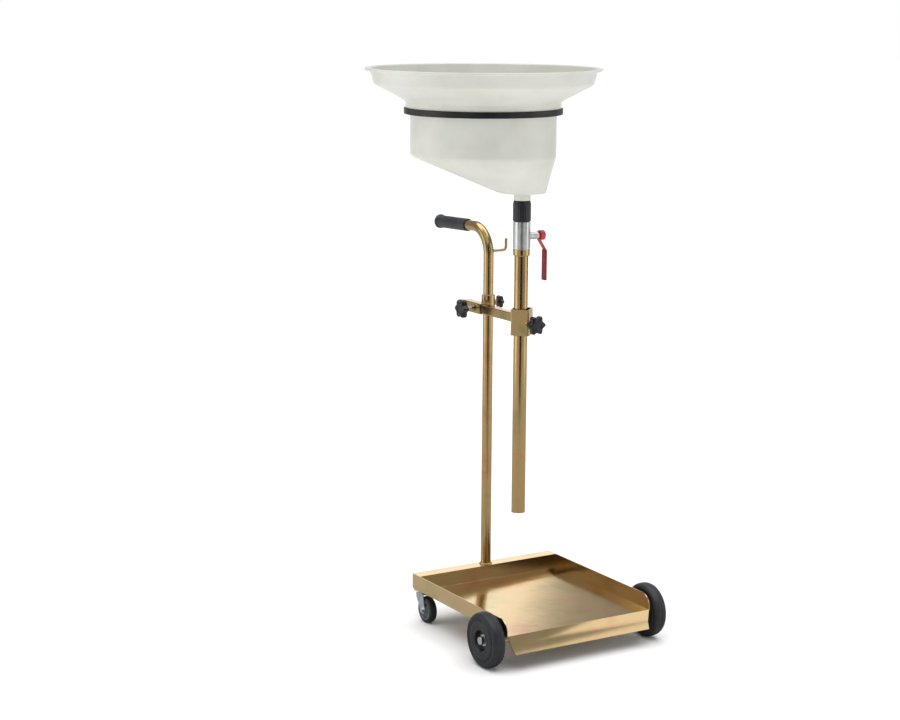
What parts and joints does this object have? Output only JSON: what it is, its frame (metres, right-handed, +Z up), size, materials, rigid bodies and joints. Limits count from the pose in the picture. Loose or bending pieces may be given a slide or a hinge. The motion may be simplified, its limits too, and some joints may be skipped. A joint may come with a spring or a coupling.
{
  "type": "wheeled oil drain pan",
  "caption": "Wheeled waste-oil drainer: a swivelling funnel bowl drains through a ball valve and a height-adjustable tube into a drum on the tray.",
  "frame": {"origin": "on the ground below the middle of the tray floor", "axes": "+Z up, +Y to the rear where the post and handle stand, +X to the right as seen from the front"},
  "size_m": [0.7548, 0.8031, 1.566],
  "materials": {
    "gold_zinc": "yellow-chromated zinc plate, bright",
    "silver_zinc": "clear zinc plate",
    "nickel": "nickel plate, satin",
    "tyre_rubber": "moulded rubber",
    "core_plastic": "moulded plastic",
    "bush_plastic": "acetal",
    "caster_rubber": "moulded rubber",
    "caster_plastic": "moulded plastic",
    "grip_rubber": "satin rubber",
    "liner_nylon": "nylon",
    "knob_plastic": "moulded plastic",
    "lever_red": "gloss red",
    "lever_sleeve": "dipped plastic",
    "coupling_plastic": "moulded plastic",
    "funnel_plastic": "moulded polyethylene",
    "seal_rubber": "moulded rubber"
  },
  "bodies": {
    "trolley": {"tray": "gold_zinc", "under_ribs": "gold_zinc", "front_axle": "silver_zinc", "axle_brackets": "gold_zinc", "axle_washers": "silver_zinc", "axle_spacers": "silver_zinc", "axle_caps": "silver_zinc", "caster_plates": "silver_zinc", "caster_bolts": "silver_zinc", "caster_kingpins": "silver_zinc", "caster_raceways": "silver_zinc", "post": "gold_zinc", "post_weld": "gold_zinc", "grip": "grip_rubber", "hook": "gold_zinc"},
    "front_wheel_left": {"wheel_tyre_left": "tyre_rubber", "wheel_core_left": "core_plastic", "wheel_bush_left": "bush_plastic"},
    "caster_swivel_left": {"caster_fork_left": "silver_zinc", "caster_axle_left": "silver_zinc"},
    "caster_wheel_left": {"caster_tread_left": "caster_rubber", "caster_hub_left": "caster_plastic"},
    "front_wheel_right": {"wheel_tyre_right": "tyre_rubber", "wheel_core_right": "core_plastic", "wheel_bush_right": "bush_plastic"},
    "caster_swivel_right": {"caster_fork_right": "silver_zinc", "caster_axle_right": "silver_zinc"},
    "caster_wheel_right": {"caster_tread_right": "caster_rubber", "caster_hub_right": "caster_plastic"},
    "liner": {"collar_liner": "liner_nylon"},
    "collar_arm": {"collar": "gold_zinc", "collar_boss": "gold_zinc", "arm_sleeve": "gold_zinc", "sleeve_boss": "gold_zinc"},
    "arm": {"arm_tube": "gold_zinc", "arm_cap": "core_plastic", "clamp_block": "gold_zinc", "block_boss": "gold_zinc"},
    "tube": {"drop_tube": "gold_zinc", "tube_ring": "gold_zinc", "valve_body": "nickel", "gland_nut": "nickel"},
    "valve_lever": {"valve_ball": "nickel", "valve_stem": "nickel", "lever": "lever_red", "lever_cover": "lever_sleeve", "lever_hub": "lever_red"},
    "funnel": {"hopper": "funnel_plastic", "coupling": "coupling_plastic", "seal_ring": "seal_rubber"},
    "bowl": {"bowl": "funnel_plastic"},
    "strainer": {"strainer": "silver_zinc", "strainer_handle": "silver_zinc"},
    "screw_collar": {"knob_collar": "knob_plastic", "stud_collar": "silver_zinc"},
    "screw_sleeve": {"knob_sleeve": "knob_plastic", "stud_sleeve": "silver_zinc"},
    "screw_block": {"knob_block": "knob_plastic", "stud_block": "silver_zinc"}
  },
  "joints": [
    {"name": "front_wheel_left_roll", "type": "hinge", "parent": "trolley", "child": "front_wheel_left", "pos_m": [-0.2625, -0.174, 0.075], "axis": [1, 0, 0], "continuous": true},
    {"name": "caster_left_swivel", "type": "hinge", "parent": "trolley", "child": "caster_swivel_left", "pos_m": [-0.208, 0.249, 0.09], "axis": [0, 0, 1], "continuous": true},
    {"name": "caster_left_roll", "type": "hinge", "parent": "caster_swivel_left", "child": "caster_wheel_left", "pos_m": [-0.208, 0.227, 0.0375], "axis": [1, 0, 0], "continuous": true},
    {"name": "front_wheel_right_roll", "type": "hinge", "parent": "trolley", "child": "front_wheel_right", "pos_m": [0.2625, -0.174, 0.075], "axis": [1, 0, 0], "continuous": true},
    {"name": "caster_right_swivel", "type": "hinge", "parent": "trolley", "child": "caster_swivel_right", "pos_m": [0.208, 0.249, 0.09], "axis": [0, 0, 1], "continuous": true},
    {"name": "caster_right_roll", "type": "hinge", "parent": "caster_swivel_right", "child": "caster_wheel_right", "pos_m": [0.208, 0.227, 0.0375], "axis": [1, 0, 0], "continuous": true},
    {"name": "collar_slide", "type": "slide", "parent": "trolley", "child": "liner", "axis": [0, 0, 1], "range_m": [-0.12, 0.08]},
    {"name": "arm_swivel", "type": "hinge", "parent": "liner", "child": "collar_arm", "pos_m": [0, 0.251, 0.9], "axis": [0, 0, 1], "range_deg": [-60, 60]},
    {"name": "arm_slide", "type": "slide", "parent": "collar_arm", "child": "arm", "axis": [0, -1, 0], "range_m": [-0.14, 0.05]},
    {"name": "tube_slide", "type": "slide", "parent": "arm", "child": "tube", "axis": [0, 0, 1], "range_m": [-0.08, 0.45]},
    {"name": "valve_turn", "type": "hinge", "parent": "tube", "child": "valve_lever", "pos_m": [-0.0338, 0.03, 1.114], "axis": [1, 0, 0], "range_deg": [-90, 0]},
    {"name": "funnel_swivel", "type": "hinge", "parent": "tube", "child": "funnel", "pos_m": [-0.0338, 0.03, 1.155], "axis": [0, 0, 1], "continuous": true},
    {"name": "bowl_lift", "type": "slide", "parent": "funnel", "child": "bowl", "axis": [0, 0, 1], "range_m": [0, 0.12]},
    {"name": "strainer_lift", "type": "slide", "parent": "bowl", "child": "strainer", "axis": [0, 0, 1], "range_m": [0, 0.12]},
    {"name": "collar_screw", "type": "hinge", "parent": "collar_arm", "child": "screw_collar", "pos_m": [0, 0.251, 0.9], "axis": [1, 0, 0], "continuous": true},
    {"name": "sleeve_screw", "type": "hinge", "parent": "collar_arm", "child": "screw_sleeve", "pos_m": [-0.0338, 0.251, 0.889], "axis": [-1, 0, 0], "continuous": true},
    {"name": "block_screw", "type": "hinge", "parent": "arm", "child": "screw_block", "pos_m": [-0.0338, 0.03, 0.882], "axis": [0, -1, 0], "continuous": true}
  ]
}
